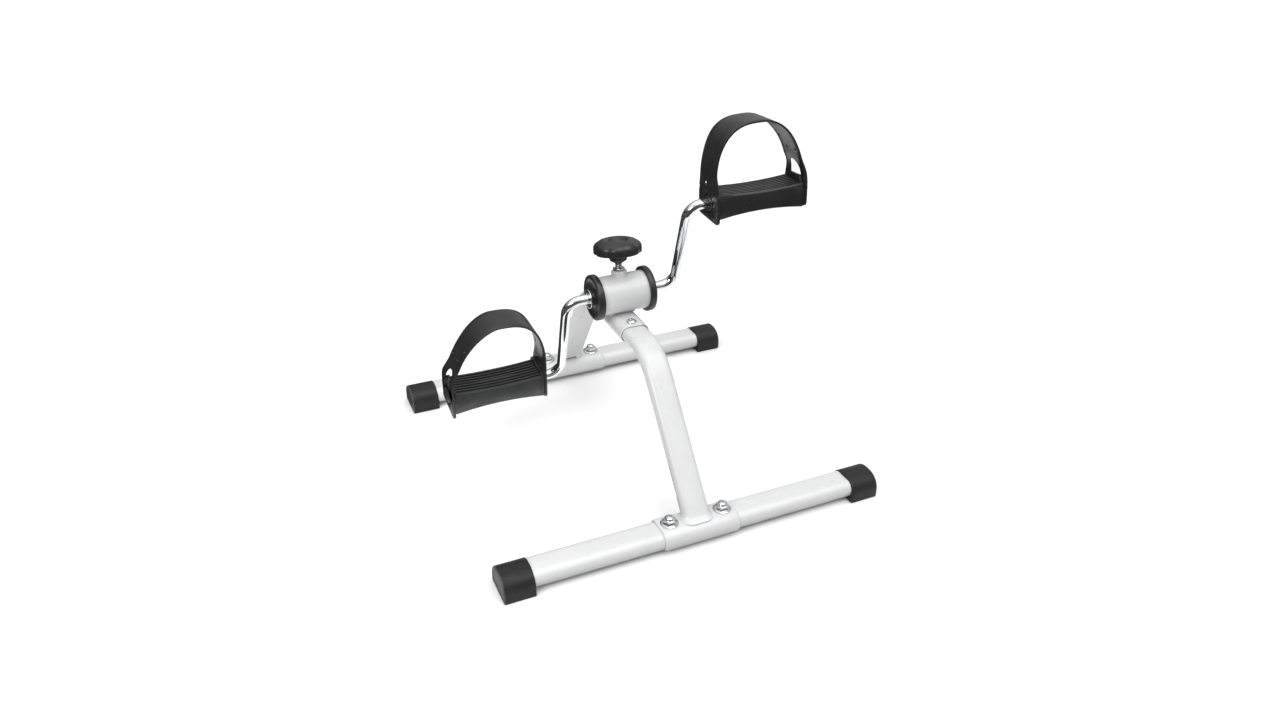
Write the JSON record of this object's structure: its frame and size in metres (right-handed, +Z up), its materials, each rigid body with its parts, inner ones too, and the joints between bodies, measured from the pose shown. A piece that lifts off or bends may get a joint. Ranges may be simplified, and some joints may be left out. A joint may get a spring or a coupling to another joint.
{
  "type": "pedal exerciser",
  "caption": "Floor-standing pedal exerciser with capped foot bars, bent legs, a crank hub with friction brake and tension knob, a bent crank rod and pedals with arched foot straps.",
  "frame": {"origin": "on the floor under the middle of the overall box of the exerciser", "axes": "+X along the crank axle from the left pedal to the right pedal, +Y from the front foot bar to the rear foot bar, +Z up"},
  "size_m": [0.43, 0.413, 0.3855],
  "materials": {
    "white_paint": "semi-gloss white powder coat over steel tube and plate",
    "chrome": "bright chrome plate over bent steel rod and small fittings",
    "zinc": "bright zinc plate on fasteners",
    "steel": "plain turned steel",
    "rubber": "matt charcoal moulded rubber",
    "black_plastic": "satin black moulded plastic",
    "nylon": "smooth dark nylon bearing plastic",
    "friction_pad": "dense brown friction pad"
  },
  "bodies": {
    "frame": {"front_post": "white_paint", "rear_leg": "white_paint", "leg_sleeve": "white_paint", "hub_tube": "white_paint", "tension_boss": "white_paint", "jam_nut": "zinc", "brake_pad": "friction_pad", "foot_bar_front": "white_paint", "foot_bar_rear": "white_paint", "saddle_front": "white_paint", "saddle_rear": "white_paint", "sleeve_bolt_front": "chrome", "sleeve_bolt_rear": "chrome", "sleeve_nut_front": "zinc", "sleeve_nut_rear": "zinc", "foot_cap_front_left": "rubber", "foot_cap_front_right": "rubber", "foot_cap_rear_left": "rubber", "foot_cap_rear_right": "rubber", "saddle_bolt_front_left": "zinc", "saddle_bolt_front_right": "zinc", "saddle_bolt_rear_left": "zinc", "saddle_bolt_rear_right": "zinc", "saddle_washer_front_left": "zinc", "saddle_washer_front_right": "zinc", "saddle_washer_rear_left": "zinc", "saddle_washer_rear_right": "zinc", "saddle_nut_front_left": "zinc", "saddle_nut_front_right": "zinc", "saddle_nut_rear_left": "zinc", "saddle_nut_rear_right": "zinc", "hub_cap_left": "black_plastic", "hub_cap_right": "black_plastic", "hub_bush_left": "nylon", "hub_bush_right": "nylon"},
    "crank": {"crank_rod": "chrome", "brake_drum": "steel", "rod_ring_left": "chrome", "rod_ring_right": "chrome", "spindle_ring_left": "nylon", "spindle_ring_right": "nylon", "spindle_cap_left": "nylon", "spindle_cap_right": "nylon"},
    "pedal_left": {"pedal_body_left": "black_plastic", "pedal_strap_left": "black_plastic", "pedal_bush_inner_left": "nylon", "pedal_bush_outer_left": "nylon"},
    "pedal_right": {"pedal_body_right": "black_plastic", "pedal_strap_right": "black_plastic", "pedal_bush_inner_right": "nylon", "pedal_bush_outer_right": "nylon"},
    "tension_carrier": {"pressure_shoe": "steel"},
    "tension_knob": {"tension_screw": "steel", "tension_knob": "black_plastic", "knob_insert": "black_plastic"}
  },
  "joints": [
    {"name": "crank_spin", "type": "hinge", "parent": "frame", "child": "crank", "pos_m": [0, 0.012, 0.195], "axis": [1, 0, 0], "continuous": true},
    {"name": "left_pedal_spin", "type": "hinge", "parent": "crank", "child": "pedal_left", "pos_m": [0.0012, 0.04271, 0.09198], "axis": [1, 0, 0], "continuous": true},
    {"name": "right_pedal_spin", "type": "hinge", "parent": "crank", "child": "pedal_right", "pos_m": [0.0012, -0.01871, 0.29802], "axis": [1, 0, 0], "continuous": true},
    {"name": "screw_travel", "type": "slide", "parent": "frame", "child": "tension_carrier", "axis": [0, 0.1478, 0.989], "range_m": [0, 0.00125]},
    {"name": "knob_turn", "type": "hinge", "parent": "tension_carrier", "child": "tension_knob", "pos_m": [0, 0.01555, 0.21874], "axis": [0, 0.1478, 0.989], "range_deg": [0, 360]}
  ],
  "couplings": [
    {"joint": "knob_turn", "follows": "screw_travel", "rad_per_m": 5026.5}
  ]
}
